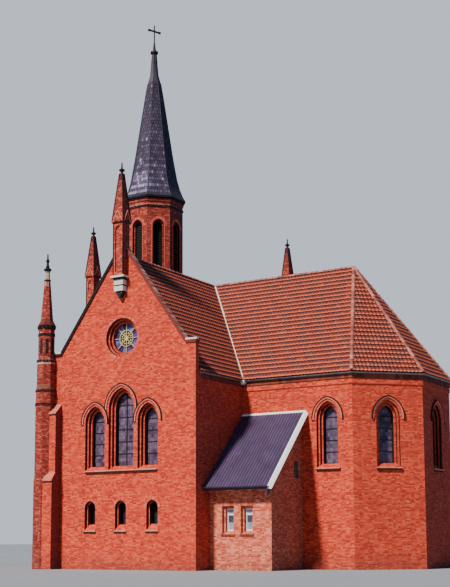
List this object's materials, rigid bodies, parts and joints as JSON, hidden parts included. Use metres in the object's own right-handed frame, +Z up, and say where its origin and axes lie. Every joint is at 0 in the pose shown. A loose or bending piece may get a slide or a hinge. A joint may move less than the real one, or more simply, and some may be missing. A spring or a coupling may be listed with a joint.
{
  "type": "church building",
  "caption": "Brick church on a cross plan with stepped pointed windows, tiled roofs, gable pinnacles, a slate spire on an octagonal tower and a metal-roofed annex.",
  "frame": {"origin": "on the ground, under the middle of the crossing of the two ridges, on the floor's underside", "axes": "+Z up; -Y out of the shown front gable with the rose window; -X out of the tower end; +X along the choir to the apse"},
  "size_m": [25.1503, 20.405, 38.63],
  "materials": {
    "red_brick": "matt",
    "dark_brick": "matt",
    "roof_tile": "matt",
    "pale_stone": "matt",
    "slate": "satin",
    "lead": "weathered",
    "iron": "matt",
    "sheet_metal": "satin",
    "white_paint": "painted",
    "window_glass": "leaded",
    "oak": "oiled",
    "floor_stone": "honed"
  },
  "bodies": {
    "root": {"annex_barge_board": "white_paint", "annex_roof": "sheet_metal", "annex_side_window": "white_paint", "annex_walls": "red_brick", "annex_window_1": "white_paint", "annex_window_2": "white_paint", "apse_glazing": "window_glass", "apse_roof": "roof_tile", "apse_wall": "red_brick", "belfry_cornice": "red_brick", "choir_roof_north_slope": "roof_tile", "choir_roof_south_slope": "roof_tile", "corner_turret": "red_brick", "floor": "floor_stone", "front_buttress": "red_brick", "front_gable_coping": "dark_brick", "front_gable_glazing": "window_glass", "front_gable_wall": "red_brick", "front_pinnacle": "red_brick", "front_pinnacle_corbel": "pale_stone", "front_roof_east_slope": "roof_tile", "front_roof_west_slope": "roof_tile", "north_east_glazing": "window_glass", "north_east_walls": "red_brick", "north_gable_coping": "dark_brick", "north_gable_glazing": "window_glass", "north_gable_wall": "red_brick", "north_pinnacle": "red_brick", "north_pinnacle_corbel": "pale_stone", "north_roof_east_slope": "roof_tile", "north_roof_west_slope": "roof_tile", "north_west_glazing": "window_glass", "north_west_walls": "red_brick", "south_east_glazing": "window_glass", "south_east_walls": "red_brick", "south_west_glazing": "window_glass", "south_west_walls": "red_brick", "spire_cap": "lead", "spire_cross": "iron", "tower_belfry": "red_brick", "tower_shaft": "red_brick", "tower_spire": "slate", "west_door": "oak", "west_gable_coping": "dark_brick", "west_gable_glazing": "window_glass", "west_gable_wall": "red_brick", "west_pinnacle": "red_brick", "west_pinnacle_corbel": "pale_stone", "west_roof_north_slope": "roof_tile", "west_roof_south_slope": "roof_tile"}
  },
  "joints": []
}
